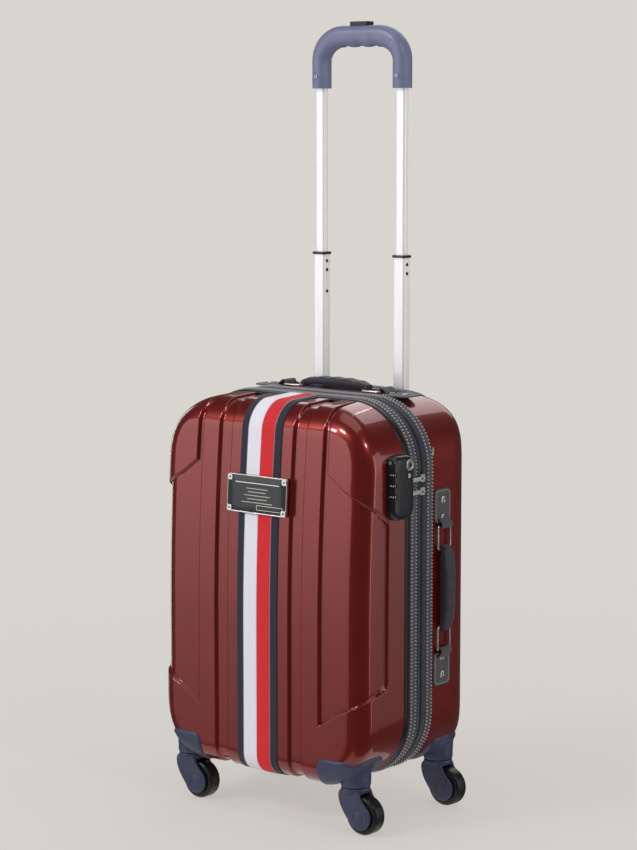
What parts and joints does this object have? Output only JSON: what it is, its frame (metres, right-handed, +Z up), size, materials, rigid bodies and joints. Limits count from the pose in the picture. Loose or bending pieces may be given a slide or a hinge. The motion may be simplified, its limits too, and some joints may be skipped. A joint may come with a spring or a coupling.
{
  "type": "hard shell suitcase on wheels",
  "caption": "Zipped hard shell cabin suitcase with a telescopic handle, two padded carry handles, a combination lock and four swivelling wheels.",
  "frame": {"origin": "on the floor, under the middle of the bounding box", "axes": "+Z up, +Y towards the back with the telescopic handle, +X the side with the lock"},
  "size_m": [0.3698, 0.248, 1.038],
  "materials": {
    "shell": "gloss",
    "trim_leather": "satin",
    "zip_tape": "matte",
    "lining": "matte",
    "webbing": "matte",
    "ribbon_white": "matte",
    "ribbon_red": "matte",
    "bright_metal": "polished",
    "enamel": "gloss",
    "navy_plastic": "satin",
    "wheel": "matte",
    "steel": "satin",
    "lock_plastic": "satin",
    "black_plastic": "satin",
    "tube": "satin",
    "grip_leather": "satin"
  },
  "bodies": {
    "root": {"rear_shell": "shell", "rear_edge_trim": "trim_leather", "rear_zip_tape": "zip_tape", "rear_lining": "lining", "hinge_tape": "zip_tape", "trolley_bezel": "navy_plastic", "trolley_outer_tubes": "tube", "trolley_foot_bracket": "black_plastic", "packing_straps": "webbing", "strap_buckles": "black_plastic", "top_handle_tabs": "grip_leather", "top_handle_rivets": "bright_metal", "side_handle_tabs": "grip_leather", "side_handle_rivets": "bright_metal", "rear_left_guard": "navy_plastic", "rear_right_guard": "navy_plastic", "zip_keeper_clip": "bright_metal"},
    "lid": {"front_shell": "shell", "front_edge_trim": "trim_leather", "front_zip_tape": "zip_tape", "front_lining": "lining", "stripe_webbing": "webbing", "stripe_white_ribbon": "ribbon_white", "stripe_red_ribbon": "ribbon_red", "plate_panel": "enamel", "plate_frame": "bright_metal", "plate_rivets": "bright_metal", "lock_case": "lock_plastic", "front_left_guard": "navy_plastic", "front_right_guard": "navy_plastic"},
    "lock_button_body": {"lock_button": "bright_metal"},
    "lock_key_body": {"key_cylinder": "bright_metal"},
    "lock_dial_1_body": {"lock_dial_1": "black_plastic"},
    "lock_dial_2_body": {"lock_dial_2": "black_plastic"},
    "lock_dial_3_body": {"lock_dial_3": "black_plastic"},
    "trolley_middle": {"trolley_middle_tubes": "tube", "trolley_bushings": "black_plastic"},
    "trolley_inner": {"trolley_inner_tubes": "tube", "trolley_grip": "navy_plastic"},
    "trolley_button": {"trolley_grip_button": "black_plastic"},
    "top_handle": {"top_handle_grip": "grip_leather", "top_handle_rings": "bright_metal"},
    "side_handle": {"side_handle_grip": "grip_leather", "side_handle_rings": "bright_metal"},
    "upper_slider": {"zip_slider_upper": "bright_metal"},
    "lower_slider": {"zip_slider_lower": "bright_metal"},
    "upper_pull": {"zip_pull_upper": "bright_metal"},
    "lower_pull": {"zip_pull_lower": "bright_metal"},
    "front_left_caster": {"front_left_fork": "navy_plastic", "front_left_axle": "steel"},
    "front_left_roller": {"front_left_wheel": "wheel"},
    "front_right_caster": {"front_right_fork": "navy_plastic", "front_right_axle": "steel"},
    "front_right_roller": {"front_right_wheel": "wheel"},
    "rear_left_caster": {"rear_left_fork": "navy_plastic", "rear_left_axle": "steel"},
    "rear_left_roller": {"rear_left_wheel": "wheel"},
    "rear_right_caster": {"rear_right_fork": "navy_plastic", "rear_right_axle": "steel"},
    "rear_right_roller": {"rear_right_wheel": "wheel"}
  },
  "joints": [
    {"name": "lid_hinge", "type": "hinge", "parent": "root", "child": "lid", "pos_m": [-0.1852, 0.00153, 0.304], "axis": [0, 0, -1], "range_deg": [0, 170]},
    {"name": "front_left_swivel", "type": "hinge", "parent": "lid", "child": "front_left_caster", "pos_m": [-0.1477, -0.08847, 0.058], "axis": [0, 0, 1], "continuous": true},
    {"name": "front_left_roll", "type": "hinge", "parent": "front_left_caster", "child": "front_left_roller", "pos_m": [-0.1317, -0.08847, 0.025], "axis": [0, 1, 0], "continuous": true},
    {"name": "front_right_swivel", "type": "hinge", "parent": "lid", "child": "front_right_caster", "pos_m": [0.1323, -0.08847, 0.058], "axis": [0, 0, 1], "continuous": true},
    {"name": "front_right_roll", "type": "hinge", "parent": "front_right_caster", "child": "front_right_roller", "pos_m": [0.1483, -0.08847, 0.025], "axis": [0, 1, 0], "continuous": true},
    {"name": "rear_left_swivel", "type": "hinge", "parent": "root", "child": "rear_left_caster", "pos_m": [-0.1477, 0.08952, 0.058], "axis": [0, 0, 1], "continuous": true},
    {"name": "rear_left_roll", "type": "hinge", "parent": "rear_left_caster", "child": "rear_left_roller", "pos_m": [-0.1317, 0.08952, 0.025], "axis": [0, 1, 0], "continuous": true},
    {"name": "rear_right_swivel", "type": "hinge", "parent": "root", "child": "rear_right_caster", "pos_m": [0.1323, 0.08952, 0.058], "axis": [0, 0, 1], "continuous": true},
    {"name": "rear_right_roll", "type": "hinge", "parent": "rear_right_caster", "child": "rear_right_roller", "pos_m": [0.1483, 0.08952, 0.025], "axis": [0, 1, 0], "continuous": true},
    {"name": "trolley_middle_slide", "type": "slide", "parent": "root", "child": "trolley_middle", "axis": [0, 0, 1], "range_m": [-0.233, 0]},
    {"name": "trolley_inner_slide", "type": "slide", "parent": "trolley_middle", "child": "trolley_inner", "axis": [0, 0, 1], "range_m": [-0.212, 0]},
    {"name": "trolley_button_press", "type": "slide", "parent": "trolley_inner", "child": "trolley_button", "axis": [0, 0, -1], "range_m": [0, 0.004], "stiffness_N_per_m": 500},
    {"name": "lock_button_press", "type": "slide", "parent": "lid", "child": "lock_button_body", "axis": [-1, 0, 0], "range_m": [0, 0.0015], "stiffness_N_per_m": 400},
    {"name": "lock_key_turn", "type": "hinge", "parent": "lid", "child": "lock_key_body", "pos_m": [0.1723, -0.03648, 0.475], "axis": [1, 0, 0], "range_deg": [0, 90]},
    {"name": "lock_dial_1_turn", "type": "hinge", "parent": "lid", "child": "lock_dial_1_body", "pos_m": [0.17262, -0.06529, 0.437], "axis": [0, 0, 1], "continuous": true},
    {"name": "lock_dial_2_turn", "type": "hinge", "parent": "lid", "child": "lock_dial_2_body", "pos_m": [0.17262, -0.06529, 0.451], "axis": [0, 0, 1], "continuous": true},
    {"name": "lock_dial_3_turn", "type": "hinge", "parent": "lid", "child": "lock_dial_3_body", "pos_m": [0.17262, -0.06529, 0.465], "axis": [0, 0, 1], "continuous": true},
    {"name": "top_handle_lift", "type": "slide", "parent": "root", "child": "top_handle", "axis": [0, 0, 1], "range_m": [0, 0.003]},
    {"name": "side_handle_lift", "type": "slide", "parent": "root", "child": "side_handle", "axis": [1, 0, 0], "range_m": [0, 0.003]},
    {"name": "upper_slider_run", "type": "slide", "parent": "root", "child": "upper_slider", "axis": [0, 0, 1], "range_m": [0, 0.006]},
    {"name": "lower_slider_run", "type": "slide", "parent": "root", "child": "lower_slider", "axis": [0, 0, 1], "range_m": [-0.28, 0]},
    {"name": "upper_pull_swing", "type": "hinge", "parent": "upper_slider", "child": "upper_pull", "pos_m": [0.1715, 0.00003, 0.453], "axis": [0, 0, 1], "range_deg": [0, 150]},
    {"name": "lower_pull_swing", "type": "hinge", "parent": "lower_slider", "child": "lower_pull", "pos_m": [0.1715, 0.00003, 0.436], "axis": [0, 0, 1], "range_deg": [0, 150]}
  ]
}
